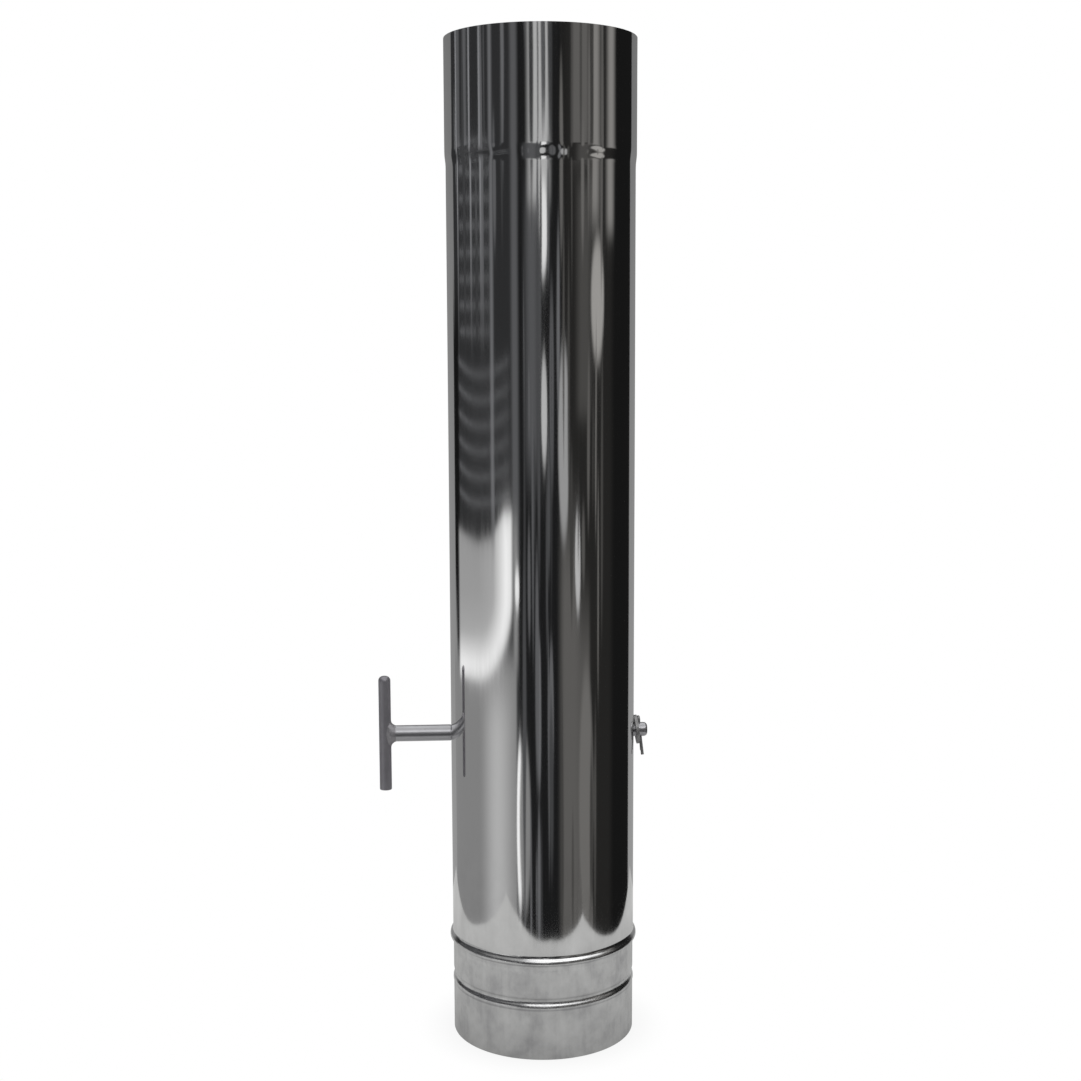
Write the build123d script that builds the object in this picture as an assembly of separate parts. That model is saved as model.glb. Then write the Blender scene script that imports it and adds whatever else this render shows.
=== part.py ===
from build123d import *
import math
import os

# A stove pipe section with a turning damper. One length of thin polished sheet has a wide socket
# at its top, and a spigot with two rolled beads at its bottom. A spindle crosses the pipe low down.
# It carries a round plate inside, a welded T handle on one side, and a washer and a split pin on
# the other. Z runs up the pipe's centre line from the spigot's end, X runs along the spindle, and
# the handle is at -X. At rest the plate stands upright, in line with the pipe, so the flue is open.

# Pipe, all in millimetres
pipe_height = 487.5
sheet = 0.5
body_r = 45.5  # outside of the plain wall
spigot_shrink = 0.2  # the spigot is this much less in radius than the wall
slip_gap = 0.25  # between a spigot and the socket that it enters
socket_depth = 52.5
step_height = 8.0  # the slight widening below the socket

# Rolled beads: the large one stops the next pipe's socket, the small one seals in it
stop_bead_z = 50.0
stop_bead_rise = 1.45  # above the plain wall
stop_bead_half = 2.6  # half the bead's height along the pipe
seal_bead_z = 27.8
seal_bead_rise = 0.22  # above the spigot
seal_bead_half = 2.2

# Lengthwise weld of the rolled sheet, at the back. It is ground flush in the socket and spigot.
seam_width = 1.6
seam_rise = 0.1
seam_fade = 2.0  # its ends stop this short of the bead and of the widening

# Spindle
axis_z = 152.0
journal_r = 3.5
stem_r = 4.0  # the thicker part outside the pipe, on the handle's side
running_gap = 0.08
shoulder_gap = 0.1  # between the stem's shoulder and the wall
stem_length = 32.8  # from the shoulder to the middle of the T bar
tip_length = 3.7  # from the split pin to the spindle's end
tip_chamfer = 0.9  # across the end, and twice this along the spindle

# T bar of the handle
bar_r = 3.0
bar_length = 57.5
bar_lift = 0.4  # the bar's middle stands this much above the stem's
bar_crown = 1.5  # chamfer of the upper end, ground by hand
weld_root = 0.05  # between the stem's sawn end and the bar
weld_reach = 2.2  # along the stem, from the bar's side
weld_spread = 3.0  # along the bar, from the stem's side
weld_skin = 0.35  # over the sides of the stem and bar

# Washer and split pin on the far end
tip_tilt = 6.0  # degrees, the lean of the loose washer and pin, lower end outwards
washer_r = 7.2
washer_thick = 1.5
washer_bore_gap = 0.25
washer_play = 0.3  # between the wall and the washer's nearest edge
pin_wire_r = 0.72
pin_hole_gap = 0.03  # between the leaning wire and the ends of its hole
pin_play = 0.05  # between the washer's face and the wire
pin_split = 0.02  # half the slit between the two legs
pin_neck_r = 0.9
pin_eye_r = 1.05
pin_long_leg = 12.8  # below the spindle's centre line
pin_short_leg = 11.2
pin_neck_rise = 0.1  # above the spindle's surface
pin_spread = 9.0  # degrees, each leg
pin_spread_r = 2.5

# Damper plate and the screws that hold it to the spindle's flat
plate_thick = 1.2
plate_gap = 1.7  # between the plate's rim and the bore
flat_overrun = 0.4  # the flat is longer than the plate by this, at each end
screw_r = 2.0
screw_offset = 22.0
screw_past = 0.8  # how far a screw stands out behind the spindle
thread_gap = 0.03
screw_hole_gap = 0.15
head_flats = 7.0
head_height = 2.8
head_chamfer = 0.4
lock_r = 3.8
lock_bore_gap = 0.1
lock_thick = 0.9
lock_slit = 0.8
lock_slant = 20.0

# Worked out from the sizes above
spigot_r = body_r - spigot_shrink
socket_r = spigot_r + slip_gap + sheet
socket_foot = pipe_height - socket_depth
bore_r = body_r - sheet
plate_r = bore_r - plate_gap
shoulder_x = -(body_r + shoulder_gap)
bar_x = shoulder_x - stem_length
lean = math.radians(tip_tilt)
washer_x = body_r + washer_play + washer_thick / 2 * math.cos(lean) + washer_r * math.sin(lean)
pin_hole_r = pin_wire_r + journal_r * math.tan(lean) + pin_hole_gap
pin_x = washer_x + (washer_thick / 2 + pin_play + pin_wire_r) / math.cos(lean)
tip_x = pin_x + tip_length
flat_y = -plate_thick / 2  # the plate's middle lies on the spindle's centre line
flat_half = plate_r + flat_overrun
head_y = plate_thick / 2 + lock_thick
through_all = 4 * body_r


def swell(stations, inset):
    """One smooth curve through stations (outer radius, height) where the wall runs straight up.

    inset is how far inside the outer surface the curve lies. Between two stations the wall leans
    by twice the angle of the straight line that joins them, as two tangent arcs would.
    """
    points = [Vector(stations[0][0] - inset, 0, stations[0][1])]
    for foot, head in zip(stations, stations[1:]):
        slope = 2 * math.atan2(head[0] - foot[0], head[1] - foot[1])
        middle = Vector((foot[0] + head[0]) / 2, 0, (foot[1] + head[1]) / 2)
        points.append(middle - Vector(math.cos(slope), 0, -math.sin(slope)) * inset)
        points.append(Vector(head[0] - inset, 0, head[1]))
    return Spline(*points, tangents=[(0, 0, 1), (0, 0, 1)])


def bead(foot_r, top_r, head_r, middle_z, half):
    """The stations of one rolled bead: its foot, its crest and its head."""
    return [(foot_r, middle_z - half), (top_r, middle_z), (head_r, middle_z + half)]


def wall_line(inset):
    """The wall's line from the spigot's end up to the socket's rim, inset from its outer surface."""
    seal = bead(spigot_r, spigot_r + seal_bead_rise, spigot_r, seal_bead_z, seal_bead_half)
    stop = bead(spigot_r, body_r + stop_bead_rise, body_r, stop_bead_z, stop_bead_half)
    step_foot = (body_r, socket_foot - step_height)
    step_head = (socket_r, socket_foot)

    def straight(low, high):
        return Line((low[0] - inset, 0, low[1]), (high[0] - inset, 0, high[1]))

    return [
        straight((spigot_r, 0), seal[0]),
        swell(seal, inset),
        straight(seal[-1], stop[0]),
        swell(stop, inset),
        straight(stop[-1], step_foot),
        straight(step_foot, step_head),
        straight(step_head, (socket_r, pipe_height)),
    ]


def wall_section(thickness):
    """The flat section of the wall, in the XZ plane."""
    outer = wall_line(0)
    inner = wall_line(thickness)
    foot = Line(inner[0] @ 0, outer[0] @ 0)
    rim = Line(inner[-1] @ 1, outer[-1] @ 1)
    return Face(Wire([*outer, *inner, foot, rim]))


def rod(radius, low_x, high_x):
    """A round bar along the spindle's centre line, from low_x to high_x."""
    place = Location(((low_x + high_x) / 2, 0, axis_z))
    return place * Cylinder(radius, high_x - low_x, rotation=(0, 90, 0))


def make_pipe():
    """The sheet metal pipe, with the spindle's two holes and the lengthwise weld at the back."""
    shell = revolve(wall_section(sheet), Axis.Z)
    low = stop_bead_z + stop_bead_half + seam_fade
    high = socket_foot - step_height - seam_fade
    seam = Location((0, body_r, (low + high) / 2)) * Box(seam_width, 2 * seam_rise, high - low)
    hole = rod(journal_r + running_gap, -through_all, through_all)
    return shell + seam - hole


def make_spindle():
    """One turned bar: thick stem, shoulder, journal, a flat for the plate and a blunt tip."""
    stem = rod(stem_r, bar_x + bar_r + weld_root, shoulder_x)
    journal = rod(journal_r, shoulder_x, tip_x)
    end_face = journal.faces().sort_by(Axis.X)[-1]
    journal = chamfer(end_face.edges(), tip_chamfer, 2 * tip_chamfer, reference=end_face)
    above_flat = Location((0, flat_y + journal_r, axis_z)) * Box(2 * flat_half, 2 * journal_r, 3 * journal_r)
    pin_hole = Location((pin_x, 0, axis_z)) * Cylinder(pin_hole_r, 3 * journal_r)
    spindle = stem + journal - above_flat - pin_hole
    for x in (-screw_offset, screw_offset):
        tapped = Location((x, 0, axis_z)) * Cylinder(screw_r + thread_gap, 3 * journal_r, rotation=(90, 0, 0))
        spindle -= tapped
    return spindle


def plain_bar():
    """The T bar before its ends are worked."""
    return Location((bar_x, 0, axis_z + bar_lift)) * Cylinder(bar_r, bar_length)


def make_handle_bar():
    """The T bar: its upper end is ground to a blunt cone and its lower end is sawn off square."""
    bar = plain_bar()
    return chamfer(bar.faces().sort_by(Axis.Z)[-1].edges(), bar_crown)


def make_handle_weld():
    """The bead of weld that wraps the joint of the stem and the bar."""
    near_x = bar_x + bar_r
    toe = Plane((near_x + weld_reach, 0, axis_z), x_dir=(0, 1, 0), z_dir=(1, 0, 0))
    waist = Plane((near_x + weld_reach / 4, 0, axis_z), x_dir=(0, 1, 0), z_dir=(1, 0, 0))
    root = Plane((near_x - bar_r / 5, 0, axis_z), x_dir=(0, 1, 0), z_dir=(1, 0, 0))
    sections = [
        toe * Circle(stem_r + weld_skin / 4),
        waist * Ellipse(stem_r + weld_skin, stem_r + weld_spread / 3),
        root * Ellipse(bar_r + weld_skin, stem_r + weld_spread),
    ]
    stem = rod(stem_r, near_x + weld_root, shoulder_x)
    return loft(sections, ruled=True) - stem - plain_bar()


def make_end_washer():
    """The loose washer between the wall and the split pin. Its upper edge leans on the wall."""
    ring = Cylinder(washer_r, washer_thick) - Cylinder(journal_r + washer_bore_gap, 2 * washer_thick)
    return Location((washer_x, 0, axis_z), (0, 90 - tip_tilt, 0)) * ring


def leg(end_z, side):
    """One leg of the split pin as a line, from its end up to the pin's neck. side is -1 or 1."""
    spread = math.radians(pin_spread)
    neck = Vector(0, side * pin_split, journal_r + pin_neck_rise)
    knee = Vector(0, side * pin_split, -journal_r)
    swing = Vector(0, side * (pin_split + pin_spread_r * (1 - math.cos(spread))), 0)
    foot = swing + Vector(0, 0, -journal_r - pin_spread_r * math.sin(spread))
    half = spread / 2
    middle = Vector(0, side * (pin_split + pin_spread_r * (1 - math.cos(half))), 0)
    middle += Vector(0, 0, -journal_r - pin_spread_r * math.sin(half))
    drop = foot.Z + end_z
    end = foot + Vector(0, side * drop * math.tan(spread), -drop)
    return [Line(end, foot), ThreePointArc(foot, middle, knee), Line(knee, neck)]


def make_split_pin():
    """The split pin: a half-round wire whose flat lies inside the eye and between the legs."""
    neck_z = journal_r + pin_neck_rise
    reach = pin_neck_r + pin_eye_r
    neck_y = pin_split + pin_neck_r
    eye_z = neck_z + math.sqrt(reach**2 - neck_y**2)
    tuck = math.atan2(eye_z - neck_z, neck_y)
    edges = leg(pin_long_leg, -1)
    for side in (-1, 1):
        centre = Vector(0, side * neck_y, neck_z)
        touch = centre + Vector(0, -side * math.cos(tuck), math.sin(tuck)) * pin_neck_r
        bow = centre + Vector(0, -side * math.cos(tuck / 2), math.sin(tuck / 2)) * pin_neck_r
        start = Vector(0, side * pin_split, neck_z)
        edges.append(ThreePointArc(start, bow, touch))
        if side < 0:
            first_touch = touch
    top = Vector(0, 0, eye_z + pin_eye_r)
    edges.append(ThreePointArc(first_touch, top, touch))
    edges += leg(pin_short_leg, 1)
    path = Wire(edges)
    tail = edges[0] @ 0
    along = edges[0] % 0
    across = Plane(tail, x_dir=(1, 0, 0), z_dir=along)
    half_round = Circle(pin_wire_r) - Location((0, pin_wire_r)) * Rectangle(3 * pin_wire_r, 2 * pin_wire_r)
    wire = sweep(across * half_round, path)
    return Location((pin_x, 0, axis_z), (0, -tip_tilt, 0)) * wire


def make_damper_plate():
    """The round plate, with the two holes for its screws."""
    upright = Plane((0, 0, axis_z), x_dir=(1, 0, 0), z_dir=(0, -1, 0))
    disc = Cylinder(plate_r, plate_thick)
    for x in (-screw_offset, screw_offset):
        disc -= Location((x, 0)) * Cylinder(screw_r + screw_hole_gap, 2 * plate_thick)
    return upright * disc


def make_plate_screw(x):
    """A hexagon screw that goes through the plate into the spindle's tapped hole."""
    face = Plane((x, head_y, axis_z), x_dir=(1, 0, 0), z_dir=(0, 1, 0))
    corner_r = head_flats / math.sqrt(3)
    prism = extrude(RegularPolygon(corner_r, 6), head_height)
    crown = Location((0, 0, head_height / 2)) * Cylinder(corner_r, head_height)
    crown = chamfer(crown.edges().sort_by(Axis.Z)[-1], head_chamfer)
    length = head_y + journal_r + screw_past
    shank = Location((0, 0, -length / 2)) * Cylinder(screw_r, length)
    return face * ((prism & crown) + shank)


def make_lock_washer(x):
    """The spring washer under a screw's head, with its slanting slit."""
    face = Plane((x, plate_thick / 2, axis_z), x_dir=(1, 0, 0), z_dir=(0, 1, 0))
    ring = Cylinder(lock_r, lock_thick) - Cylinder(screw_r + lock_bore_gap, 2 * lock_thick)
    slit = Location((0, lock_r, 0), (0, lock_slant, 0)) * Box(lock_slit, 2 * lock_r, 4 * lock_thick)
    return face * (Location((0, 0, lock_thick / 2)) * (ring - slit))


def main():
    os.makedirs("parts", exist_ok=True)
    nodes = {
        "pipe": make_pipe(),
        "spindle": make_spindle(),
        "handle_bar": make_handle_bar(),
        "handle_weld": make_handle_weld(),
        "end_washer": make_end_washer(),
        "split_pin": make_split_pin(),
        "damper_plate": make_damper_plate(),
    }
    for name, x in (("left", -screw_offset), ("right", screw_offset)):
        nodes[f"plate_screw_{name}"] = make_plate_screw(x)
        nodes[f"lock_washer_{name}"] = make_lock_washer(x)
    for name, shape in nodes.items():
        export_step(shape, f"parts/{name}.step")


main()
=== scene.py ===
# %% [markdown]
# # A stove pipe damper in polished steel
#
# The object is one length of thin stove pipe with a damper in it: a round plate on a spindle that
# a small welded handle turns. Polished steel has hardly any colour of its own. What an eye sees in
# it is the room, squeezed by the tube into upright bands, so most of the work here is in three
# places: a wall that is smooth but not perfect, a finish with the right faint haze, and a room
# worth reflecting.

# %% Load the frame
import math
import bmesh
import bpy
import numpy as np
from mathutils import Matrix, Vector


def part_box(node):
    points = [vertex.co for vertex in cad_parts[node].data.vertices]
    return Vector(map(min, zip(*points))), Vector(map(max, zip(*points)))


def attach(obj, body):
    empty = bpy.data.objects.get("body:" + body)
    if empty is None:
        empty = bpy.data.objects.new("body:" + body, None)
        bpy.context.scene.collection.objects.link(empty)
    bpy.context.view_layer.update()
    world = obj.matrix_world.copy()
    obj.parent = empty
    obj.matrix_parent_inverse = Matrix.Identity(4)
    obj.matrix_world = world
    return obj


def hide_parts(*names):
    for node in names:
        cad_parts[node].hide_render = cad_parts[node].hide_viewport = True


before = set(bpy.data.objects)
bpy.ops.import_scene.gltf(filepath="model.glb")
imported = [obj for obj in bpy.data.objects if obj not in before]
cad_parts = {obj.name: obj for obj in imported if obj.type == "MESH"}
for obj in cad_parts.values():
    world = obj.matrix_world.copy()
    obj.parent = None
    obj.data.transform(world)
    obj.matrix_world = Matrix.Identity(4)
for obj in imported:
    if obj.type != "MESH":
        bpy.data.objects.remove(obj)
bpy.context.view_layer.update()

# %% [markdown]
# ## Sizes
#
# Everything is in metres, and the frame is the CAD model's: Z runs up the pipe's centre line from
# its lower rim, X runs along the spindle, and the handle is at -X. Sizes that the frame can give
# are read from it. The rest repeat the drawing, because a mesh can't be asked for a wall's
# thickness or for where a bead begins.

# %% Sizes of the pipe
MM = 0.001
bar_low, bar_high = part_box("handle_bar")
washer_low, washer_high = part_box("end_washer")
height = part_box("pipe")[1].z
axis_z = (washer_low.z + washer_high.z) / 2
body_r = 45.5 * MM
spigot_r = 45.3 * MM
socket_r = 46.05 * MM
sheet = 0.5 * MM
stop_bead = {"crest_z": 48.4 * MM, "below": 1.6 * MM, "above": 3.7 * MM, "crest_r": 46.93 * MM}
seal_bead = {"crest_z": 25.7 * MM, "below": 1.5 * MM, "above": 3.4 * MM, "crest_r": 45.57 * MM}
seal_dip_r = 44.42 * MM
dip_length = 2.6 * MM
groove_depth, groove_half = 0.03 * MM, 1.6 * MM
step_low, step_high = 427.0 * MM, 435.0 * MM
hole_r = 3.58 * MM
stem_r = 4.0 * MM
bar_r = 0.999 * (bar_high.y - bar_low.y) / 2  # a hair under the drawing's
bar_x = (bar_high.x + bar_low.x) / 2
print("height", height, "spindle at", axis_z, "bar at", bar_x, "bar radius", bar_r)

# %% [markdown]
# ## Meshes from arrays
#
# A surface worked out on a grid needs two things: where its points are, and which four points make
# each face. The points come as one array from a formula. The faces only depend on the grid's size
# and on whether it closes on itself, so one helper serves every piece. Corners are listed so that
# the face points outwards when columns run anticlockwise and rows run up.


# %% Faces of a grid, and a piece made from arrays
def grid_faces(rows, columns, closed_rows=False, closed_columns=False):
    """Corner numbers of every quad in a grid: a point, its right neighbour, and the two above."""
    low = np.arange(rows if closed_rows else rows - 1)[:, None]
    left = np.arange(columns if closed_columns else columns - 1)[None, :]
    high = (low + 1) % rows
    right = (left + 1) % columns
    corners = [low * columns + left, low * columns + right,
               high * columns + right, high * columns + left]
    return np.stack(np.broadcast_arrays(*corners), axis=-1).reshape(-1, 4)


def make_piece(name, parts, body, material, crease=35.0):
    """One smooth-shaded mesh from (points, faces) parts, welded where they meet."""
    points = np.concatenate([np.reshape(p, (-1, 3)) for p, _ in parts])
    starts = np.cumsum([0] + [np.size(p) // 3 for p, _ in parts])
    faces = np.concatenate([f + start for (_, f), start in zip(parts, starts)])
    mesh = bpy.data.meshes.new(name)
    mesh.from_pydata(points.tolist(), [], faces.tolist())
    shape = bmesh.new()
    shape.from_mesh(mesh)
    bmesh.ops.remove_doubles(shape, verts=shape.verts, dist=1e-7)
    open_edges = sum(1 for edge in shape.edges if not edge.is_manifold)
    volume = shape.calc_volume(signed=True)
    shape.to_mesh(mesh)
    shape.free()
    mesh.shade_smooth()
    mesh.set_sharp_from_angle(angle=math.radians(crease))
    mesh.materials.append(material)
    piece = bpy.data.objects.new(name, mesh)
    bpy.context.scene.collection.objects.link(piece)
    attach(piece, body)
    print(name, "points", len(mesh.vertices), "faces", len(mesh.polygons),
          "open edges", open_edges, "volume in cm3", round(volume * 1e6, 3))
    return piece


# %% [markdown]
# ## Shader maths that reads like maths
#
# A node tree for a finish is a sum of patterns. Written as node calls it is hard to read, so a
# socket is wrapped in a small class whose operators add the Math nodes. `1 - mask` needs the
# reflected operators too. Any other node comes from one method of the finish.


# %% A socket with operators, and a finish that adds nodes
class Value:
    """One output socket of a finish's node tree."""

    def __init__(self, finish, socket):
        self.finish = finish
        self.socket = socket

    def math(self, operation, first, second=0.0):
        """One Math node of the same tree."""
        return self.finish.node("ShaderNodeMath", {"operation": operation}, {0: first, 1: second})

    def __add__(self, other):
        return self.math("ADD", self, other)

    def __sub__(self, other):
        return self.math("SUBTRACT", self, other)

    def __rsub__(self, other):
        return self.math("SUBTRACT", other, self)

    def __mul__(self, other):
        return self.math("MULTIPLY", self, other)

    def __truediv__(self, other):
        return self.math("DIVIDE", self, other)

    def __rtruediv__(self, other):
        return self.math("DIVIDE", other, self)

    def __pow__(self, other):
        return self.math("POWER", self, other)

    def __abs__(self):
        return self.math("ABSOLUTE", self)

    def clamp(self):
        """The value, held between 0 and 1."""
        return self.finish.node("ShaderNodeClamp", {}, {0: self})

    __radd__ = __add__
    __rmul__ = __mul__


class Finish:
    """A material whose nodes are added one call at a time."""

    def __init__(self, name, tree=None):
        self.material = None
        if tree is None:
            self.material = bpy.data.materials.new(name)
            self.material.use_nodes = True
            tree = self.material.node_tree
        self.tree = tree
        self.tree.nodes.clear()

    def node(self, kind, settings, values, output=0):
        """Adds one node: its settings first, then its sockets by name or number."""
        made = self.tree.nodes.new(kind)
        for key, value in settings.items():
            if key == "stops":
                while len(made.color_ramp.elements) < len(value):
                    made.color_ramp.elements.new(1.0)
                for element, (place, level) in zip(made.color_ramp.elements, value):
                    element.position = place
                    element.color = (*np.broadcast_to(level, 3).tolist(), 1.0)
            else:
                setattr(made, key, value)
        for key, value in values.items():
            if isinstance(value, Value):
                self.tree.links.new(value.socket, made.inputs[key])
            else:
                made.inputs[key].default_value = value
        return Value(self, made.outputs[output]) if len(made.outputs) else made

    def place(self, scale=(1.0, 1.0, 1.0), shift=(0.0, 0.0, 0.0)):
        """Object coordinates, scaled and shifted."""
        there = self.node("ShaderNodeTexCoord", {}, {}, "Object")
        return self.node("ShaderNodeMapping", {},
                         {"Vector": there, "Scale": scale, "Location": shift})

    def axes(self, vector):
        """The X, Y and Z of a vector as three values."""
        split = self.node("ShaderNodeSeparateXYZ", {}, {0: vector})
        return [Value(self, socket) for socket in split.socket.node.outputs]

    def noise(self, vector, scale, detail=2.0, rough=0.5):
        """Cloudy noise from 0 to 1."""
        return self.node("ShaderNodeTexNoise", {},
                         {"Vector": vector, "Scale": scale, "Detail": detail, "Roughness": rough})

    def ramp(self, value, stops):
        """A colour ramp, with stops as (place, level or colour)."""
        return self.node("ShaderNodeValToRGB", {"stops": stops}, {0: value})

    def relief(self, depth):
        """The surface's direction, tilted by a relief that is so many metres deep."""
        return self.node("ShaderNodeBump", {}, {"Strength": 1.0, "Distance": 1.0, "Height": depth})

    def light(self, strength, tint=(1.0, 1.0, 1.0)):
        """A surface that glows by itself. A strength of 1 is white."""
        return self.node("ShaderNodeEmission", {}, {"Color": (*tint, 1.0), "Strength": strength})

    def end(self, surface):
        """Joins a surface to the tree's output, and gives the finished material."""
        self.node("ShaderNodeOutputMaterial", {}, {"Surface": surface})
        return self.material

    def metal(self, colour, roughness, normal, metallic=1.0):
        """Ends the tree with a metal surface. Dull oxide on steel lowers its metallic share."""
        return self.end(self.node("ShaderNodeBsdfPrincipled", {}, {
            "Base Color": colour, "Metallic": metallic, "Roughness": roughness, "Normal": normal}))


# %% [markdown]
# ## The polished sheet
#
# Stove pipe is rolled from sheet that is polished at the mill. It mirrors well, but not perfectly:
# the rolls leave faint lengthwise lines, and the surface undulates a little, which is what makes a
# straight window frame swim in the reflection. Towards the foot the sheet has been handled, so a
# thin grey haze lies on the spigot. The lines and the undulation go into the relief, and the haze
# goes into the roughness. Stains darken the colour a little, and a thin line of painted shade
# darkens the crease under each bead.


# %% Polished sheet
foot_top = 60.0 * MM
spigot_top, spigot_fade = 52.0 * MM, 2.0 * MM
handled_top, handled_fade = 115.0 * MM, 60.0 * MM
# The creases under the two beads get a thin line of painted shade in the colour.
crease_shade_heights, crease_shade_half = (47.2 * MM, 24.9 * MM), 0.8 * MM
rolled_heights, rolled_half = (50.0 * MM, 27.4 * MM), 2.0 * MM
line_depth, swell_depth = 0.0000015, 0.00005


def polished_sheet():
    """Mirror steel: fine drawn lines along Z, a slow undulation, and haze on the spigot.

    A mark that fades with height is how far z is below its top, over its fade. A mark beside a
    bead is a reach less the distance in height over its half width. The mark in the crease under
    each bead is painted shade. All are held from 0 to 1.
    """
    finish = Finish("polished_sheet")
    _, _, z = finish.axes(finish.place())

    def beside_beads(heights, half, reach):
        """The marks beside the two beads, added up."""
        stop, seal = [(reach - abs(z - middle) / half).clamp() for middle in heights]
        return stop + seal

    foot = (1.0 - z / foot_top).clamp()
    spigot = ((spigot_top - z) / spigot_fade).clamp()
    lines = finish.noise(finish.place((1.0, 1.0, 0.02)), 900.0, 3.0)
    swell = finish.noise(finish.place((1.0, 1.0, 0.12)), 45.0, 1.0)
    cloud = finish.noise(finish.place((1.0, 1.0, 0.7)), 95.0, 4.0, 0.62)
    specks = finish.noise(finish.place(), 700.0, 2.0)
    patch = finish.noise(finish.place((1.0, 1.0, 0.8), (0.3, 0.1, 0.7)), 115.0, 3.0, 0.55)
    scratch = finish.noise(finish.place((1.0, 1.0, 0.05), (0.2, 0.5, 0.1)), 420.0, 2.0)
    haze = spigot * (0.35 + 0.65 * cloud)
    handled = 0.5 * spigot + 0.5 * ((handled_top - z) / handled_fade).clamp()
    stain = handled * (1.8 * (patch - 0.5) + 1.0 * (cloud - 0.5) + 0.5 * (scratch - 0.5))
    # painted shade: a thin darker line in the crease under each bead, added to the colour below
    crease_shade = beside_beads(crease_shade_heights, crease_shade_half, 1.0)
    rolled = beside_beads(rolled_heights, rolled_half, 2.0)
    wear_and_crease_shade = 0.2 + 0.24 * handled + 0.8 * stain + 0.10 * (cloud - 0.5) + 0.45 * crease_shade
    colour = finish.ramp(wear_and_crease_shade, [(0.0, 0.85), (0.4, 0.74), (1.0, (0.50, 0.50, 0.51))])
    roughness = 0.045 + 0.05 * lines + 0.15 * haze + 0.05 * foot * specks + 0.05 * rolled
    return finish.metal(colour, roughness, finish.relief(line_depth * lines + swell_depth * swell))


sheet_finish = polished_sheet()
print("finish", sheet_finish.name, len(sheet_finish.node_tree.nodes), "nodes")


# %% [markdown]
# ## The fittings
#
# The handle is plain drawn bar that was never polished. Fine lines run along both of its bars, and
# the thick stem is brighter than the thin bar. The weld is more mottled. The washer, the split pin
# and the plate's screws are zinc-grey fasteners with a soft speckle. The damper plate is mill
# sheet. Only the pieces that are shown as they come from the drawing take their finish here. The
# others get it when they are made.


# %% Drawn bar, weld, fasteners and plate
def steel(name, colour, dark, roughness, grain_scale, grain=(1.0, 1.0, 1.0),
          grain_depth=0.000004, metallic=0.55):
    """Plain steel: a cloudy mix of two tones, and a fine grain in relief and roughness."""
    finish = Finish(name)
    cloud = finish.noise(finish.place(), 160.0, 3.0)
    lines = finish.noise(finish.place(grain), grain_scale, 3.0)
    tone = finish.ramp(0.6 * cloud + 0.4 * lines, [(0.3, dark), (0.7, colour)])
    roughness = roughness + 0.12 * (lines - 0.5)
    return finish.metal(tone, roughness, finish.relief(grain_depth * lines), metallic)


stem_finish = steel("drawn_stem", (0.56, 0.56, 0.58), (0.48, 0.48, 0.50), 0.30, 1500.0,
                    grain=(0.05, 1.0, 1.0), grain_depth=0.0000012, metallic=0.85)
bar_finish = steel("drawn_bar", (0.43, 0.42, 0.45), (0.33, 0.32, 0.35), 0.44, 1500.0,
                   grain=(1.0, 1.0, 0.05))
weld_finish = steel("weld_metal", (0.50, 0.49, 0.51), (0.34, 0.33, 0.35), 0.44, 900.0,
                    grain_depth=0.00001)
fastener_finish = steel("fastener_steel", (0.43, 0.43, 0.43), (0.29, 0.29, 0.29), 0.38, 1100.0)
plate_finish = steel("mill_sheet", (0.56, 0.56, 0.56), (0.44, 0.44, 0.44), 0.33, 800.0,
                     grain=(1.0, 1.0, 0.06))
fasteners = ["end_washer", "split_pin", "plate_screw_left", "plate_screw_right",
             "lock_washer_left", "lock_washer_right"]
cad_finishes = {"damper_plate": plate_finish, **dict.fromkeys(fasteners, fastener_finish)}
for node, finish in cad_finishes.items():
    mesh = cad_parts[node].data
    mesh.materials.clear()
    mesh.materials.append(finish)
print("finishes on", len(cad_finishes), "CAD nodes")

# %% [markdown]
# ## The pipe's wall
#
# The CAD wall is true but coarse, and a mirror shows every facet. So the wall is worked out again
# as a surface of revolution: one outline from the foot to the rim, offset inwards by the sheet's
# thickness for the inside, and swept round. The beads' outlines are pairs of tangent arcs, which
# is how a bead roller leaves them. On top of that come the faults of the real sheet, as a few long
# waves of some hundredths of a millimetre.


# %% The outline of the wall
def s_curve(half, rise, steps=4):
    """Half a bead, as (along, out): two equal tangent arcs, one hollow and one round.

    Each arc turns by twice the angle whose tangent is rise over half, so the radius is the half
    width over twice the sine of that turn.
    """
    turn = 2 * math.atan2(abs(rise), half)
    radius = half / 2 / math.sin(turn)
    angle = np.linspace(0, turn, steps + 1)
    hollow = np.stack([radius * np.sin(angle), radius * (1 - np.cos(angle))], -1)
    crown = np.array([half, abs(rise)]) - hollow[::-1]
    curve = np.concatenate([hollow, crown[1:]])
    return curve * [1.0, math.copysign(1.0, rise)]


def bend(foot_r, foot_z, head_r, head_z):
    """The S from one plain radius to another, as rows of (radius, height)."""
    curve = s_curve(head_z - foot_z, head_r - foot_r)
    return np.stack([foot_r + curve[:, 1], foot_z + curve[:, 0]], -1)


def bead(crest_z, below, above, crest_r, foot_r, head_r):
    """A whole bead: out to its crest and back in. Its upper side is the longer one."""
    rising = bend(foot_r, crest_z - below, crest_r, crest_z)
    return np.concatenate([rising, bend(crest_r, crest_z, head_r, crest_z + above)[1:]])


beside_bend = 0.1 * MM


def straight(radius, low, high, rows):
    """A plain length of wall between two bends, without its end rows: one radius, even heights.

    The outermost two rows lie close to the bends, so that smooth shading doesn't carry a bend's
    tilt into the plain length.
    """
    z = np.linspace(low, high, rows + 2)[1:-1]
    z = np.concatenate([[low + beside_bend], z, [high - beside_bend]])
    return np.stack([np.full(len(z), radius), z], -1)


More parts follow.
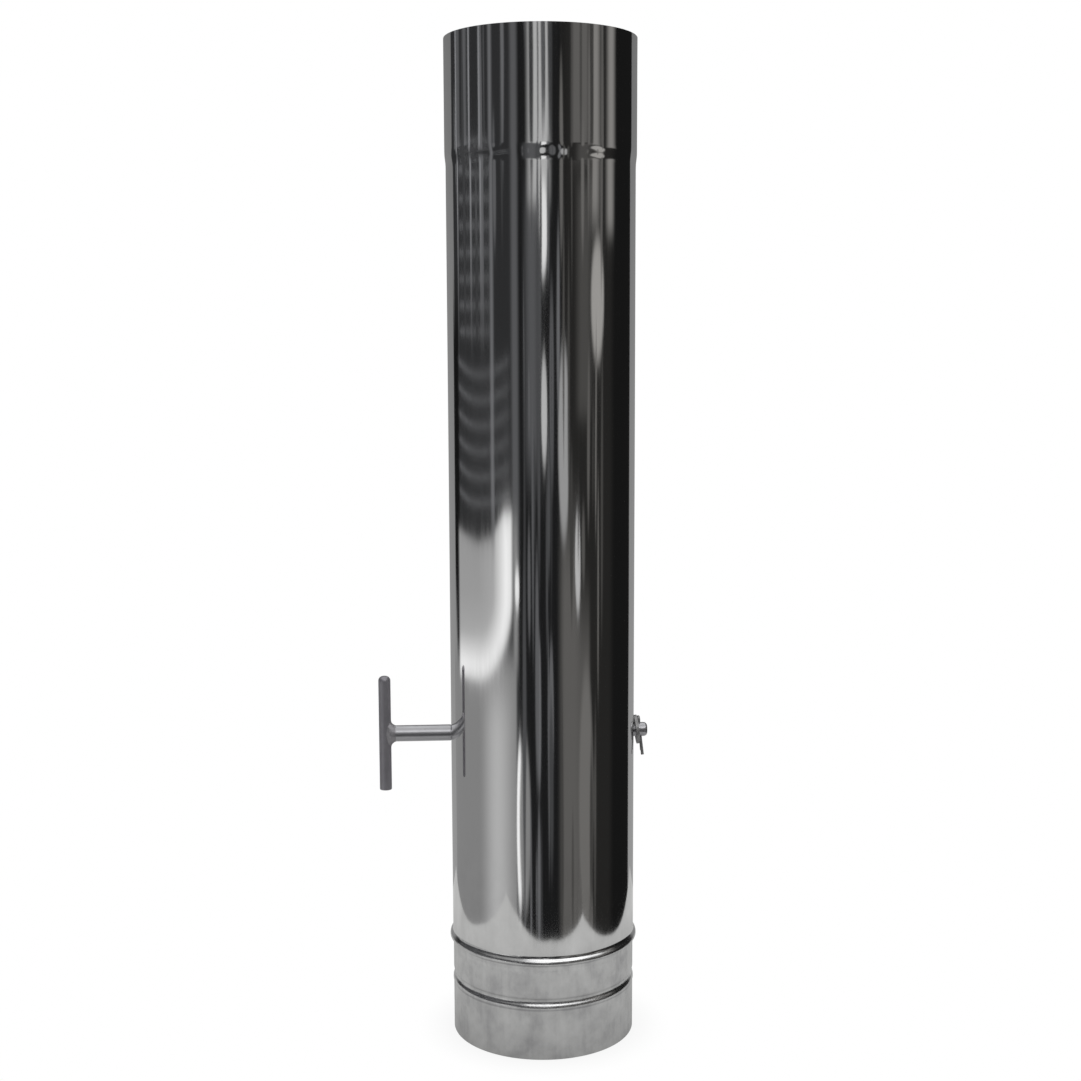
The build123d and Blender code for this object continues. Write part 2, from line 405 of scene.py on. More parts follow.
def groove(radius, top_z):
    """A very shallow dip below a bead's foot, where the roller has pulled the sheet in: one S
    inwards and one S back out."""
    dip_r, dip_z = radius - groove_depth, top_z - groove_half
    inwards = bend(radius, top_z - 2 * groove_half, dip_r, dip_z)
    return np.concatenate([inwards, bend(dip_r, dip_z, radius, top_z)[1:-1]])


hole_rows = 12
patch_half = 7.2 * MM


def outline():
    """The outer outline as rows of (radius, height), with even rows where the holes go."""
    patch = np.linspace(axis_z - patch_half, axis_z + patch_half, hole_rows + 1)
    seal = bead(**seal_bead, foot_r=spigot_r, head_r=seal_dip_r)
    stop = bead(**stop_bead, foot_r=spigot_r, head_r=body_r)
    stop_dip = groove(spigot_r, stop[0, 1])
    dip_high = seal[-1, 1] + dip_length
    return np.concatenate([
        [[spigot_r, 0.0]],
        straight(spigot_r, 0.0, seal[0, 1], rows=10),
        seal,
        bend(seal_dip_r, seal[-1, 1], spigot_r, dip_high)[1:],
        straight(spigot_r, dip_high, stop_dip[0, 1], rows=6),
        stop_dip,
        stop,
        straight(body_r, stop[-1, 1], patch[0], rows=11),
        np.stack([np.full(hole_rows + 1, body_r), patch], -1),
        straight(body_r, patch[-1], step_low, rows=34),
        bend(body_r, step_low, socket_r, step_high),
        straight(socket_r, step_high, height, rows=12),
        [[socket_r, height]],
    ])


outer = outline()
print("outline rows", len(outer), "from", outer[0], "to", outer[-1])


# %% [markdown]
# The lengthwise weld runs up the back. It is about 1.5 mm wide and a tenth of a millimetre proud,
# with the small even ripples of a machine weld, so the columns are crowded there and evenly spread
# elsewhere.

# %% Columns, seam and waves
column_step = 1.5  # degrees
seam_angle = math.pi / 2
seam_half, seam_edge, seam_rise = 0.75 * MM, 0.18 * MM, 0.095 * MM
seam_low, seam_high, seam_fade = 54.6 * MM, 425.0 * MM, 3 * MM
ripple_length, ripple_bow = 2.2 * MM, 0.12
crowded_half, clear_half = 1.6 * MM, 1.9 * MM
even = np.radians(np.arange(0, 360, column_step))
even = even[np.abs(even - seam_angle) > clear_half / body_r]
crowded = seam_angle + np.linspace(-crowded_half, crowded_half, 17) / body_r
columns = np.sort(np.concatenate([even, crowded]))


def seam_height(angle, z):
    """The weld's height: a flat-topped ridge across, times ripples along, faded out at its ends.

    A ripple is a cosine of the height, and bows back by the square of the distance across.
    """
    across = np.abs(angle - seam_angle) * body_r
    ridge = 0.5 - 0.5 * np.tanh((across - seam_half) / seam_edge)
    ripple = 0.8 + 0.2 * np.cos(2 * math.pi * (z / ripple_length + ripple_bow * (across / MM) ** 2))
    length = np.clip(np.minimum(z - seam_low, seam_high - z) / seam_fade, 0, 1)
    return seam_rise * ridge * ripple * length


wave_length, wave_share, wave_fade = 0.3, 0.9, 12 * MM
pucker_depth, pucker_half = 0.07 * MM, 3.0 * MM


def waves(angle, z):
    """The sheet's own faults, in metres: a slight oval and a few shallow waves.

    Each is a sine of so many turns round the pipe, tall in millimetres, that twists with height.
    """
    total = np.zeros(np.broadcast(angle, z).shape)
    for count, tall, turn, start in (
        (2, 0.030, 0.4, 0.5), (3, 0.018, 0.9, 2.1), (5, 0.009, -1.4, 4.0),
        (8, 0.0045, 2.0, 1.3), (11, 0.0028, -2.6, 5.2), (17, 0.0010, 3.4, 0.2),
    ):
        total += tall * MM * np.sin(count * angle + turn * z * 2 * math.pi / wave_length + start)
    return total


def crimps(angle, z):
    """Where the socket was pressed out, the sheet has puckered a little: three sines round the
    step, times a bell curve of the height."""
    puckers = (0.5 * np.sin(9 * angle + 1.0) + 0.35 * np.sin(16 * angle + 4.0)
               + 0.3 * np.sin(27 * angle + 2.2))
    from_step = (z - (step_low + step_high) / 2) / pucker_half
    return pucker_depth * puckers * np.exp(-from_step ** 2)


def wall_point(angle, radius, z):
    """A point of the wall, from its angle, nominal radius and height.

    The real radius is the nominal one, plus the waves, which fade out at the two rims, the puckers
    and, on the outside, the weld.
    """
    fade = np.clip(np.minimum(z, height - z) / wave_fade, 0, 1)
    inside = radius < body_r - sheet / 2
    proud = np.where(inside, 0.0, seam_height(angle, z))
    real = radius + waves(angle, z) * fade * wave_share + crimps(angle, z) + proud
    return np.stack(np.broadcast_arrays(real * np.cos(angle), real * np.sin(angle), z), -1)


print("columns", len(columns))


# %% [markdown]
# The spindle's holes are made without a Boolean. A square block of cells is left out of the grid,
# and a patch takes its place: rings of points that start on the block's edge and end on the
# circle. The patch follows the same wall formula, so the reflection runs over it without a kink.

# %% The wall, with its holes
hole_angles = (0.0, math.pi)
patch_turn = np.radians(column_step * hole_rows / 2)


def shell_part(radii, heights, flipped):
    """One side of the wall without the cells of the two holes. flipped turns its faces inwards.

    A cell is left out if its middle is near a hole both in height and in angle.
    """
    points = wall_point(columns[None, :], radii[:, None], heights[:, None])
    faces = grid_faces(len(heights), len(columns), closed_columns=True)
    row = faces[:, 0] // len(columns)
    middle = columns[faces[:, 0] % len(columns)] + np.radians(column_step / 2)
    middle_z = (heights[row] + heights[row + 1]) / 2
    level = np.abs(middle_z - axis_z) < patch_half
    aside = [np.abs((middle - hole + math.pi) % (2 * math.pi) - math.pi) for hole in hole_angles]
    faces = faces[~(level & (np.min(aside, axis=0) < patch_turn))]
    return points, faces[:, ::-1] if flipped else faces


def patch_loop(middle_angle):
    """The edge of a left-out block, anticlockwise as seen from outside, as (angle, height)."""
    across = np.linspace(-patch_turn, patch_turn, hole_rows + 1)
    up = np.linspace(-patch_half, patch_half, hole_rows + 1)
    edge = np.concatenate([
        np.stack([across[:-1], np.full(hole_rows, -patch_half)], -1),
        np.stack([np.full(hole_rows, patch_turn), up[:-1]], -1),
        np.stack([across[:0:-1], np.full(hole_rows, patch_half)], -1),
        np.stack([np.full(hole_rows, -patch_turn), up[:0:-1]], -1),
    ])
    return edge + [middle_angle, axis_z]


def hole_patch(middle_angle, radius, flipped):
    """Rings from the block's edge to the hole's circle. Each ring is a blend of the two."""
    edge = patch_loop(middle_angle)
    local = np.stack([(edge[:, 0] - middle_angle) * radius, edge[:, 1] - axis_z], -1)
    direction = np.arctan2(local[:, 1], local[:, 0])
    circle = hole_r * np.stack([np.cos(direction), np.sin(direction)], -1)
    share = np.linspace(0, 1, 7)[:, None, None] ** 0.8
    rings = local * (1 - share) + circle * share
    angle = middle_angle + rings[..., 0] / radius
    points = wall_point(angle % (2 * math.pi), np.full(angle.shape, radius), axis_z + rings[..., 1])
    faces = grid_faces(len(rings), len(edge), closed_columns=True)
    return points, faces[:, ::-1] if flipped else faces


def pipe_wall():
    """The whole wall: outside, inside, the two rims and the two holes, as one closed shell.

    The inside is the outline moved along its normal by the sheet's thickness.
    """
    slope = np.gradient(outer, axis=0)
    normal = np.stack([slope[:, 1], -slope[:, 0]], -1) / np.hypot(slope[:, 0], slope[:, 1])[:, None]
    normal[0] = normal[-1] = (1, 0)
    inner = outer - normal * sheet
    at_hole = np.abs(outer[:, 1] - axis_z) <= patch_half + 1e-9
    inner[:, 1] = np.where(at_hole, outer[:, 1], inner[:, 1])
    parts = [shell_part(*outer.T, False), shell_part(*inner.T, True)]
    for row, flipped in ((0, False), (-1, True)):
        rim = np.stack([wall_point(columns, *side[row]) for side in (inner, outer)])
        faces = grid_faces(2, len(columns), closed_columns=True)
        parts.append((rim, faces[:, ::-1] if flipped else faces))
    for middle_angle in hole_angles:
        outside = hole_patch(middle_angle, body_r, False)
        inside = hole_patch(middle_angle, body_r - sheet, True)
        parts += [outside, inside]
        throat = np.stack([outside[0][-1], inside[0][-1]])
        parts.append((throat, grid_faces(2, throat.shape[1], closed_columns=True)))
    return parts


wall = make_piece("pipe_wall", pipe_wall(), "flue", sheet_finish, crease=30.0)
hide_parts("pipe")

# %% [markdown]
# ## The handle and its weld
#
# The T handle is two pieces of round bar: a thick stem, which is the end of the spindle itself, and
# a thinner bar across it. Turned parts are a profile swept round an axis. The real upper end has
# been ground to a blunt crown by hand, and the lower one is just sawn off, so the two ends differ.

# %% Turned parts
def turned(profile, axis, centre, sides=72):
    """A profile of (along, radius) rows swept round an axis through the centre.

    Across and up are radius times cosine and radius times sine of the angle, and along is kept.
    """
    angle = np.linspace(0, 2 * math.pi, sides, endpoint=False)
    along, radius = profile[:, :1], profile[:, 1:]
    along, across, up = np.broadcast_arrays(along, radius * np.cos(angle), radius * np.sin(angle))
    if axis == "z":
        points = np.stack([centre[0] + across, centre[1] + up, along], -1)
    else:
        points = np.stack([along, centre[0] + across, centre[1] + up], -1)
    return points, grid_faces(len(profile), sides, closed_columns=True)


def run(low, high, radius, rows=8):
    """A plain length of a turned part: one radius at even steps."""
    return np.stack([np.linspace(low, high, rows), np.full(rows, radius)], -1)


def rounded_end(end, length, radius, face_r, steps=8, direction=1):
    """A quarter of an ellipse from the full radius to the flat of the end."""
    angle = np.linspace(0, math.pi / 2, steps)
    along = end - direction * length * (1 - np.sin(angle))
    return np.stack([along, face_r + (radius - face_r) * np.cos(angle)], -1)


# %% The T bar
crown_length, crown_face_r = 2.3 * MM, 0.7 * MM
saw_edge, beside_end = 0.25 * MM, 0.05 * MM
crown = rounded_end(bar_high.z, crown_length, bar_r, crown_face_r)
sawn = rounded_end(bar_low.z, saw_edge, bar_r, bar_r - saw_edge, 4, -1)[::-1]
plain = run(bar_low.z + saw_edge + beside_end, bar_high.z - crown_length - beside_end, bar_r, 12)
bar_profile = np.concatenate([[[bar_low.z, 0.0]], sawn, plain, crown, [[bar_high.z, 0.0]]])
bar = make_piece("tee_bar", [turned(bar_profile, "z", (bar_x, 0.0))], "damper",
                 bar_finish)
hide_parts("handle_bar")

# %% [markdown]
# The spindle is turned too: the thick stem, a shoulder, the thinner journal and a rounded tip. Its
# middle is milled to a flat, on which the plate lies. The flat is made by moving points: those on
# the cut side slide onto the flat, spread evenly over its width, so no face is lost.

# %% The spindle
spindle_low, spindle_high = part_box("spindle")
shoulder_x = -(body_r + 0.1 * MM)
shoulder_edge = 0.25 * MM
journal_r = 3.5 * MM
tip_length, tip_round = 1.8 * MM, 1.6 * MM
flat_half, flat_step = 43.7 * MM, 0.01 * MM
flat_y = -0.6 * MM
spindle_profile = np.concatenate([
    [[spindle_low.x, 0.0]],
    run(spindle_low.x, shoulder_x - shoulder_edge, stem_r, 14),
    [[shoulder_x, stem_r - shoulder_edge], [shoulder_x, journal_r]],
    run(shoulder_x, -flat_half - flat_step, journal_r, 3)[1:],
    run(-flat_half, flat_half, journal_r, 16),
    run(flat_half + flat_step, spindle_high.x - tip_length - beside_end, journal_r, 6),
    rounded_end(spindle_high.x, tip_length, journal_r, journal_r - tip_round),
    [[spindle_high.x, 0.0]],
])
points, faces = turned(spindle_profile, "x", (0.0, axis_z))
turn = np.arctan2(points[..., 2] - axis_z, points[..., 1])
chord_turn = math.acos(flat_y / journal_r)
half_chord = math.sqrt(journal_r ** 2 - flat_y ** 2)
on_flat = (np.abs(points[..., 0]) <= flat_half + 1e-7) & (np.abs(turn) < chord_turn)
points[..., 1] = np.where(on_flat, flat_y, points[..., 1])
points[..., 2] = np.where(on_flat, axis_z + half_chord * turn / chord_turn, points[..., 2])
spindle = make_piece("turned_spindle", [(points, faces)], "damper", stem_finish)
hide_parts("spindle")


# %% [markdown]
# The weld is one bead run round the joint. It starts on the stem, ends on the round bar, and sags a
# little between the two, with the overlapping ripples that the arc leaves as it moves along. A
# blend of three curves gives the hollow shape, and a cosine along the bead gives the ripples.

# %% The weld bead
bar_side_x = bar_x + bar_r
stem_toe_reach, stem_toe_r = 2.3 * MM, 4.02 * MM
bar_toe_turn, bar_toe_r, bar_toe_reach = math.radians(75), 3.02 * MM, 6.9 * MM
swelling, ripple_height = 0.22 * MM, 0.07 * MM


def weld_bead():
    """Rings from the stem's toe to the bar's toe, as a quadratic blend, closed through the inside.

    The toe on the stem is a circle. The toe on the bar lies on the bar's surface: its turn round
    the bar is 75 degrees times the cosine, and its rise is 6.9 mm times the sine.
    """
    t = np.linspace(0, 2 * math.pi, 144, endpoint=False)
    uneven = 1 + 0.05 * np.sin(7 * t + 1) + 0.04 * np.sin(13 * t)

    def ring(x, wide, tall):
        """Round the stem: across is wide times the cosine, and up is tall times the sine."""
        return np.stack(np.broadcast_arrays(x, wide * np.cos(t), tall * np.sin(t)), -1)

    stem_toe = ring(bar_side_x + stem_toe_reach * uneven, stem_toe_r, stem_toe_r)
    turn = bar_toe_turn * np.cos(t)
    bar_toe = np.stack([bar_x + bar_toe_r * np.cos(turn), bar_toe_r * np.sin(turn),
                        bar_toe_reach * np.sin(t) * uneven], -1)
    corner = ring(bar_side_x - 0.2 * MM, 4.0 * MM, 4.3 * MM)
    s = np.linspace(0, 1, 13)[:, None, None]
    rings = stem_toe * (1 - s) ** 2 + corner * 2 * s * (1 - s) + bar_toe * s ** 2
    ripple = np.cos(34 * t[None, :] + 5 * (2 * s[..., 0] - 1) ** 2)
    proud = (swelling + ripple_height * ripple) * np.sin(math.pi * s[..., 0])
    rings = rings + ring(0.5, 1.0, 1.0) / math.sqrt(1.25) * proud[..., None]
    core = ring(bar_side_x, 2.0 * MM, 2.0 * MM)
    rings = np.concatenate([rings, core[None]]) + [0.0, 0.0, axis_z]
    return rings, grid_faces(len(rings), len(t), closed_rows=True, closed_columns=True)[:, ::-1]


weld = make_piece("weld_bead", [weld_bead()], "damper", weld_finish, crease=60.0)
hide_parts("handle_weld")

# %% [markdown]
# ## The room
#
# In the photograph the pipe stands on a small pale table in a dark room, and the mirror shows all
# of it: the table as the bright foot with three arches, the room as upright bands. So a room is
# built as a drum of soft panels that no camera sees. Each panel says where it stands, as a bearing
# from the camera's side and a height, and how bright it looks, on a scale where 255 is white.

# %% The camera
lens = 54.34
view_width, sideways = 1081, -1.37  # in pixels
camera_turn = math.radians(3.5)
camera_far, camera_high = 0.7976, 0.3501
camera_pitch, camera_roll = math.radians(7.299), math.radians(0.18)
forward = Vector((math.sin(camera_turn) * math.cos(camera_pitch),
                  math.cos(camera_turn) * math.cos(camera_pitch), -math.sin(camera_pitch)))
level_right = Vector((math.cos(camera_turn), -math.sin(camera_turn), 0))
level_up = level_right.cross(forward)
right = level_right * math.cos(camera_roll) - level_up * math.sin(camera_roll)
up = level_right * math.sin(camera_roll) + level_up * math.cos(camera_roll)
camera = bpy.data.objects.new("camera", bpy.data.cameras.new("camera"))
camera.data.lens = lens
camera.data.sensor_width = 36
camera.data.shift_x = sideways / view_width
camera.data.clip_start = 0.01
camera_spot = Vector((-camera_far * math.sin(camera_turn), -camera_far * math.cos(camera_turn),
                      camera_high))
camera_axes = Matrix((right, up, -forward)).transposed().to_4x4()
camera.matrix_world = Matrix.Translation(camera_spot) @ camera_axes
bpy.context.scene.collection.objects.link(camera)
bpy.context.scene.camera = camera
bpy.context.scene.view_settings.view_transform = "Standard"
print("camera at", list(camera.location))


# %% [markdown]
# ## Panels
#
# A panel is a strip of a cylinder round the object, with a mesh of its own and a glowing finish.
# Its finish fades out towards the sides and ends, because a room seen in rolled sheet has no hard
# edges. A glint is a panel whose light has the shape of an ellipse.


# %% Light of a panel
PLAIN = (1.0, 1.0, 1.0)
WARM = (1.0, 0.97, 0.93)
COOL = (0.95, 0.96, 1.0)


def glow(level):
    """The light that a grey needs to look its level, seen in steel that returns four fifths of it:
    the share of 255, to the power 2.2, over 0.8."""
    return (level / 255) ** 2.2 / 0.8


def close_panel(finish, strength, mask, tint=PLAIN):
    """Ends a panel's tree: light where the mask is, and nothing at all elsewhere."""
    clear = finish.node("ShaderNodeBsdfTransparent", {}, {})
    return finish.end(finish.node("ShaderNodeMixShader", {}, {
        0: mask, 1: clear, 2: finish.light(strength, tint)}))


def panel_finish(name, level, soft, tint, fall=0.0, sharp=2.4):
    """A lit panel. soft is how far it fades in from its sides and from its ends, or None for a
    glint. fall darkens its top end.

    The fade is a smooth step, 3 times the square less 2 times the cube of the way in. A glint is 1
    less the squared distance from the middle, times sharp, which says how crisp its edge is.
    """
    finish = Finish(name)
    u, v, _ = finish.axes(finish.node("ShaderNodeTexCoord", {}, {}, "UV"))
    if soft is None:
        du, dv = u - 0.5, v - 0.5
        mask = (sharp * (1.0 - 4.0 * (du * du + dv * dv))).clamp()
    else:
        across = ((0.5 - abs(u - 0.5)) / soft[0]).clamp()
        tall = ((0.5 - abs(v - 0.5)) / soft[1]).clamp()
        mask = across * across * (3.0 - 2.0 * across) * tall * tall * (3.0 - 2.0 * tall)
    return close_panel(finish, glow(level) * (1.0 - fall * v), mask, tint)


def board_finish(name, inside, rim):
    """A pale board with a rounded lower end and a brighter rim along that end and its right side.

    The distance runs from the board's middle, but only to the right and downwards, so the shape is
    a U that is plain at the left. Its top edge sags in the middle and rises at the right.
    """
    finish = Finish(name)
    u, v, _ = finish.axes(finish.node("ShaderNodeTexCoord", {}, {}, "UV"))
    aside = ((u - 0.45) / 0.55).clamp()
    down = ((0.5 - v) / 0.5).clamp()
    far = (aside * aside + down * down) ** 0.5
    level = finish.ramp(far, [(0.0, glow(inside)), (0.45, glow(inside + 12)),
                              (0.80, glow(rim)), (1.0, glow(rim - 20))])
    top = finish.ramp(u, [(0.0, 0.87), (0.2, 0.83), (0.45, 0.79),
                          (0.68, 0.82), (0.86, 0.96), (1.0, 0.97)])
    mask = ((1.0 - far) / 0.08).clamp() * ((top - v) / 0.04).clamp() * (u / 0.05).clamp()
    return close_panel(finish, level, mask)


# %% Mesh of a panel
def stage_mesh(name, points, faces, material, seen=False):
    """A piece of the room from plain arrays. It isn't part of the object."""
    mesh = bpy.data.meshes.new(name)
    mesh.from_pydata(np.reshape(points, (-1, 3)).tolist(), [], [list(face) for face in faces])
    mesh.materials.append(material)
    made = bpy.data.objects.new(name, mesh)
    bpy.context.scene.collection.objects.link(made)
    made.visible_camera = seen
    return made


def panel(name, bearing, heights, material, far, sag=0.0, segments=12):
    """A curved upright panel round the object. bearing is (from, to) in degrees, 0 is the camera's
    side and positive is to its right. heights is (from, to) in metres. sag lowers its middle.

    Across is the sine and along the view is the cosine of the bearing, both times far. The sag is
    a parabola over the panel's width.
    """
    share = np.linspace(0, 1, segments + 1)
    turn = np.radians(bearing[0] + (bearing[1] - bearing[0]) * share) - camera_turn
    z = np.array(heights)[:, None] - sag * 4 * share * (1 - share)
    points = np.stack(np.broadcast_arrays(far * np.sin(turn), -far * np.cos(turn), z), -1)
    made = stage_mesh(name, points, grid_faces(2, segments + 1), material)
    made.visible_shadow = False
    corner = np.empty(len(made.data.loops), np.int32)
    made.data.loops.foreach_get("vertex_index", corner)
    uv = np.stack([np.tile(share, 2), np.repeat([0.0, 1.0], segments + 1)], -1)
    made.data.uv_layers.new(name="UVMap").data.foreach_set("uv", uv[corner].ravel())


# %% [markdown]
# ## What the room holds
#
# The large plain areas come first, and the strips and glints after them. A panel that stands
# nearer than another covers it in the mirror, so each row also says how far away it stands, in
# metres.

# %% The panels
panels = [
    # name, bearing, heights, level, far, softness (None for a glint), tint
    ("room_left", (-140, -22), (-1.0, 1.6), 48, 1.50, (0.06, 0.01), COOL),
    ("room_front", (-30, 24), (-1.0, 1.6), 32, 1.495, (0.1, 0.01), COOL),
    ("room_right", (20, 100), (-1.0, 1.6), 40, 1.50, (0.15, 0.01), WARM),
    ("skirting", (-180, 180), (-1.5, -0.72), 150, 1.42, (0.001, 0.30), PLAIN),
    ("overhead", (-30, 90), (0.92, 1.7), 290, 1.43, (0.10, 0.06), PLAIN),
    ("overhead_left", (-125, -26), (0.94, 1.7), 132, 1.435, (0.10, 0.06), PLAIN),
    ("backdrop", (135, 231), (-1.4, 1.2), 166, 1.485, (0.02, 0.05), PLAIN),
    ("board_gap", (-135, -119), (-0.10, 0.46), 26, 1.46, (0.15, 0.25), PLAIN),
    ("left_cupboard", (-140, -30), (-0.62, -0.06), 126, 1.465, (0.03, 0.10), PLAIN),
    ("left_cupboard_edge", (-86, -27), (-0.58, -0.07), 172, 1.455, (0.50, 0.25), PLAIN),
    ("lamp_low", (-32, -23.5), (-0.45, -0.19), 245, 1.45, None, PLAIN),
    ("lamp_low_haze", (-29, -14), (-0.45, -0.18), 125, 1.44, None, PLAIN),
    ("lamp_spot", (-33, -27), (-0.02, 0.04), 240, 1.44, None, PLAIN),
    ("window_high", (-19, 14), (0.50, 1.12), 168, 1.45, (0.25, 0.05), PLAIN),
    ("window_middle", (-24, 2), (0.10, 0.60), 84, 1.452, (0.45, 0.25), COOL),
    ("window_glint", (-3, 8), (0.415, 0.55), 222, 1.44, None, PLAIN),
    ("window_glint_low", (-1, 7), (0.165, 0.33), 176, 1.44, None, PLAIN),
    ("window_glint_right", (19, 34), (0.06, 0.35), 146, 1.44, None, PLAIN),
    ("front_left_wall", (-38, -25), (0.0, 1.12), 88, 1.46, (0.40, 0.05), COOL),
    ("front_left_low", (-37, -27), (-0.13, 0.13), 126, 1.45, (0.45, 0.20), PLAIN),
    ("front_glint_left", (-7, -1), (-0.28, -0.04), 104, 1.44, None, COOL),
    ("front_glint_right", (8, 14), (-0.27, -0.05), 98, 1.44, None, COOL),
    ("left_strip_high", (-120, -108), (0.55, 1.12), 88, 1.46, (0.35, 0.08), COOL),
    ("left_strip_next", (-106, -94), (0.56, 1.12), 90, 1.46, (0.40, 0.08), COOL),
    ("left_strip_thin", (-65, -57), (0.03, 1.12), 104, 1.45, (0.45, 0.10), COOL),
    ("right_strip_wide", (33, 60), (0.56, 1.12), 92, 1.46, (0.25, 0.05), WARM),
    ("right_strip_edge", (57, 76), (0.46, 1.12), 124, 1.45, (0.45, 0.10), WARM),
    ("right_strip_under", (38, 66), (0.22, 0.56), 72, 1.46, (0.40, 0.10), WARM),
    ("right_glint", (60, 81), (0.30, 0.48), 150, 1.44, None, WARM),
    ("right_strip_thin", (80, 100), (0.46, 1.12), 128, 1.45, (0.45, 0.06), WARM),
    ("front_right_post", (17, 49), (-0.62, 0.19), 90, 1.452, (0.35, 0.25), WARM),
    ("right_low_wall", (24, 62), (-0.66, 0.06), 84, 1.46, (0.12, 0.25), WARM),
    ("right_low_glint", (40, 48), (-0.03, 0.12), 178, 1.44, None, PLAIN),
    ("right_low_band", (44, 66), (-0.50, -0.08), 104, 1.445, None, WARM),
]
falls = {"backdrop": 0.72}  # how much darker a panel is at its top
for name, bearing, heights, level, far, soft, tint in panels:
    finish = panel_finish(name, level, soft, tint, falls.get(name, 0.0))
    panel(name, bearing, heights, finish, far, segments=24)
panel("left_board", (-125, -34), (-0.125, 0.125), board_finish("left_board", 150, 238), 1.455,
      segments=24)
print("panels", len(panels) + 1)

# %% [markdown]
# A blind hangs above the board at the left: level slats on three cords. The lower slats are wider
# and sag a little. The fine streaks after it stand for door frames, cables and rails. Their
# places are drawn by chance, from a fixed seed, so the room is the same each time.

# %% The blind and the streaks
blind = panel_finish("blind", 132, (0.10, 0.45), COOL)
slat_height = 0.008
for rung in range(1, 15):
    rung_z = 0.105 + 0.0345 * rung
    bearing, sag = ((-124, -34), 0.022) if rung_z < 0.33 else ((-118, -60), 0.0)
    panel(f"blind_slat_{rung:02d}", bearing, (rung_z, rung_z + slat_height), blind, 1.442, sag=sag)
for number, bearing in enumerate((-118, -92, -76)):
    panel(f"blind_cord_{number}", (bearing - 1.5, bearing + 1.5), (0.28, 1.0), blind, 1.441)

# A streak is a row of bearing, half width, middle height, length and level. Where the blind and
# the board are, only the high ones are kept.
chance = np.random.default_rng(11)
count, left_count = 84, 20
bearings = np.concatenate([chance.uniform(-128, -40, left_count),
                           chance.uniform(-24, 78, count - left_count)])
streaks = np.stack([bearings, chance.uniform(0.8, 3.2, count), chance.uniform(-0.5, 0.9, count),
                    chance.uniform(0.12, 0.55, count), chance.uniform(54, 104, count)], -1)
shown = np.flatnonzero((streaks[:, 0] > -40) | (streaks[:, 2] > 0.4))
for number, (middle, half, z, length, level) in zip(shown, streaks[shown].tolist()):
    name = f"streak_{number:02d}"
    finish = panel_finish(name, level, None, COOL if middle < 20 else WARM, sharp=1.5)
    panel(name, (middle - half, middle + half), (z - length / 2, z + length / 2), finish, 1.435,
          segments=2)
print("streaks shown", len(shown), "of", len(streaks))


# %% [markdown]
# ## The walls and the lid
#
# The wall behind the panels is almost black, and a lid over the front half of the drum is a soft
# overhead light: that gives the round handle its light line along the top. The pit below is
# what the steel sees past the table's edge.

# %% Dark drum, pit and lid
drum_r, drum_low, drum_high, lid_back = 1.6, -1.5, 1.7, -0.05


def drum_finish(level):
    """A wall that glows evenly, as dark as its level says."""
    finish = Finish(f"dark_room_{level}")
    return finish.end(finish.light(glow(level)))


turn = np.radians(np.arange(0, 360, 5))
ring = np.stack([drum_r * np.cos(turn), drum_r * np.sin(turn)], -1)
drum_points = [np.column_stack([ring, np.full(len(ring), z)]) for z in (drum_low, drum_high)]
stage_mesh("room_wall", drum_points, grid_faces(2, len(ring), closed_columns=True), drum_finish(28))
for name, back, z, level in (("room_pit", drum_r, drum_low, 178),
                             ("room_ceiling", lid_back, drum_high, 205)):
    corners = [(-drum_r, -drum_r, z), (drum_r, -drum_r, z), (drum_r, back, z), (-drum_r, back, z)]
    stage_mesh(name, corners, [(0, 1, 2, 3)], drum_finish(level))
print("room from", drum_low, "to", drum_high, "and", drum_r, "away")


# %% [markdown]
# ## The table and the world
#
# The table is a pale slab with a slightly uneven edge of twelve corners, which is what the arches
# in the foot mirror. Seen straight, it is as white as the page of a catalogue, with a soft shadow
# where the pipe stands. Seen in the steel, it is a lit table with painted shade round the pipe,
# so it is darker in its middle and brighter near its edge.

# %% The table
# Painted shade round the pipe: the board seen in the steel is darker out to the middle radius, and
# brightens over the fade.
shaded_board_level, board_edge_level = 160, 179
painted_shade_r, painted_shade_fade = 0.125, 0.07


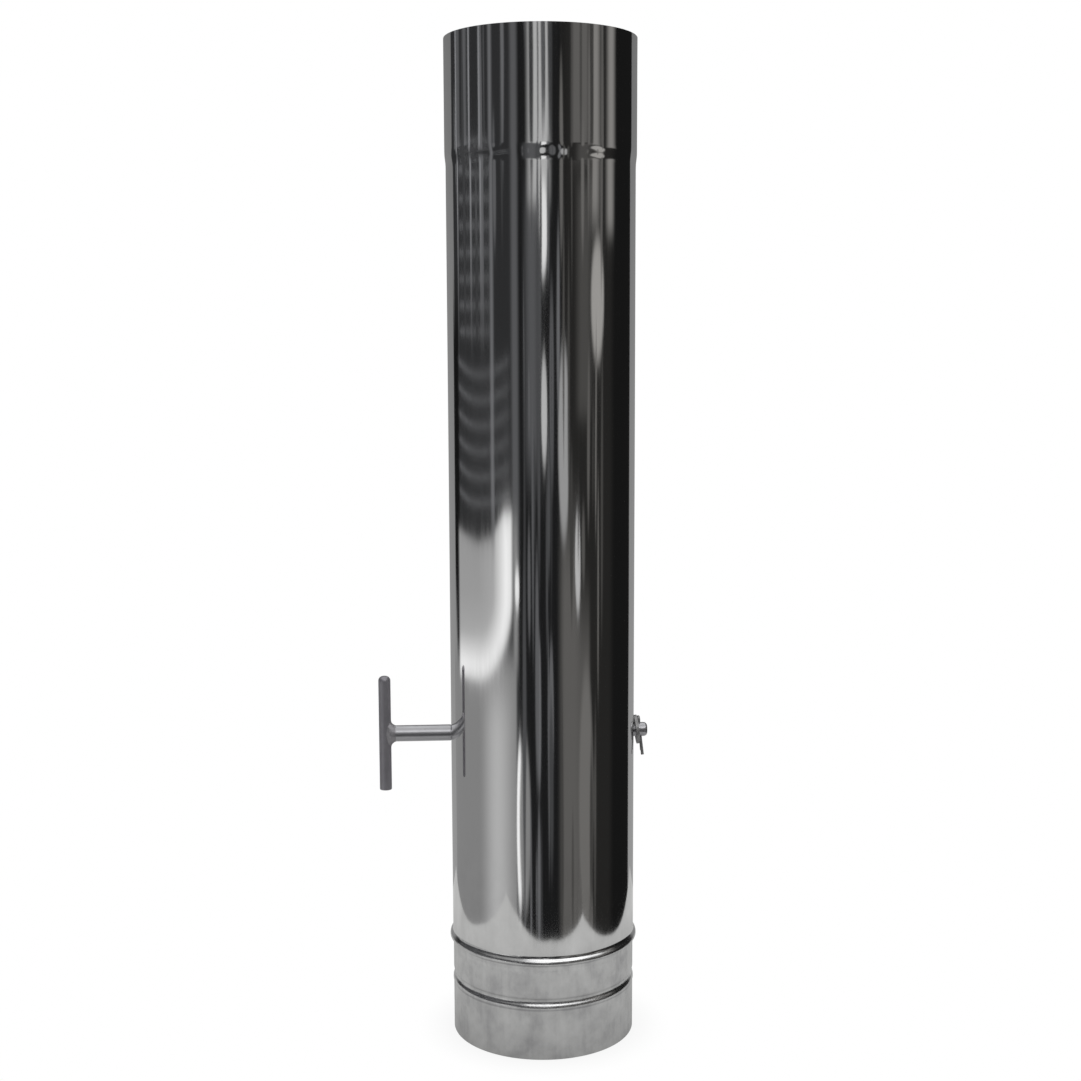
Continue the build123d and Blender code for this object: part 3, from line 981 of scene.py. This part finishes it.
def table_finish():
    """White to the camera, and a pale lit board to everything else.

    Both darken where the open sky above a point is covered: within 20 mm for the camera, and within
    50 mm in the steel. The board in the steel also has painted shade round the pipe: it is darker
    within 125 mm of the middle, and it brightens to its edge level over the next 70 mm.
    """
    finish = Finish("table")
    cloud = finish.noise(finish.place(), 14.0, 3.0)
    path = finish.node("ShaderNodeLightPath", {}, {}, "Is Camera Ray")

    def open_sky(distance):
        """The share of the sky that nothing nearer than the distance covers."""
        return finish.node("ShaderNodeAmbientOcclusion", {"samples": 8}, {"Distance": distance},
                           "AO")

    white = finish.light(0.84 + 0.16 * open_sky(0.02))
    x, y, _ = finish.axes(finish.place())
    # painted shade: darker near the pipe, brightening outwards to the edge level
    past_painted_shade = (((x * x + y * y) ** 0.5 - painted_shade_r) / painted_shade_fade).clamp()
    shaded_glow, edge_glow = glow(shaded_board_level), glow(board_edge_level)
    strength = shaded_glow + (edge_glow - shaded_glow) * past_painted_shade + 0.12 * (cloud - 0.5)
    board = finish.light(strength * (0.45 + 0.55 * open_sky(0.05)), (1.0, 1.0, 0.99))
    return finish.end(finish.node("ShaderNodeMixShader", {}, {0: path, 1: board, 2: white}))


# The corners are seen from above, with the camera's side in front, so they are turned with it.
table_edge = np.array([
    (-0.188, -0.203), (-0.120, -0.211), (-0.070, -0.207), (-0.020, -0.203),
    (0.030, -0.201), (0.080, -0.187), (0.134, -0.172), (0.170, -0.165),
    (0.184, -0.032), (0.190, 0.200), (-0.190, 0.200), (-0.203, -0.046),
])
table_low, table_top = -0.02, -0.0002
cosine, sine = math.cos(camera_turn), math.sin(camera_turn)
table_line = table_edge @ [[cosine, -sine], [sine, cosine]]
edges = len(table_line)
table_points = [np.column_stack([table_line, np.full(edges, z)]) for z in (table_low, table_top)]
table_faces = grid_faces(2, edges, closed_columns=True).tolist()
table_faces += [list(range(edges, 2 * edges)), list(range(edges))[::-1]]
stage_mesh("table", table_points, table_faces, table_finish(), seen=True)
print("table corners", table_line.round(3).tolist())

# %% [markdown]
# The world is a plain white page to the camera, and in mirrors and glass too. The same even white
# lights the object where the room is open.

# %% The world
world = bpy.data.worlds.new("world")
world.use_nodes = True
bpy.context.scene.world = world
sky = Finish("world", world.node_tree)
camera_ray = sky.node("ShaderNodeLightPath", {}, {}, "Is Camera Ray")
glossy_ray = sky.node("ShaderNodeLightPath", {}, {}, "Is Glossy Ray")
clear_ray = sky.node("ShaderNodeLightPath", {}, {}, "Is Transmission Ray")
seen_ray = (camera_ray + glossy_ray + clear_ray).clamp()
white_page = {"Color": (1.0, 1.0, 1.0, 1.0), "Strength": 1.0}
page = sky.node("ShaderNodeBackground", {}, white_page)
daylight = sky.node("ShaderNodeBackground", {}, white_page)
mixed = sky.node("ShaderNodeMixShader", {}, {0: seen_ray, 1: daylight, 2: page})
sky.node("ShaderNodeOutputWorld", {}, {"Surface": mixed})
print("world", world.name, len(world.node_tree.nodes), "nodes")
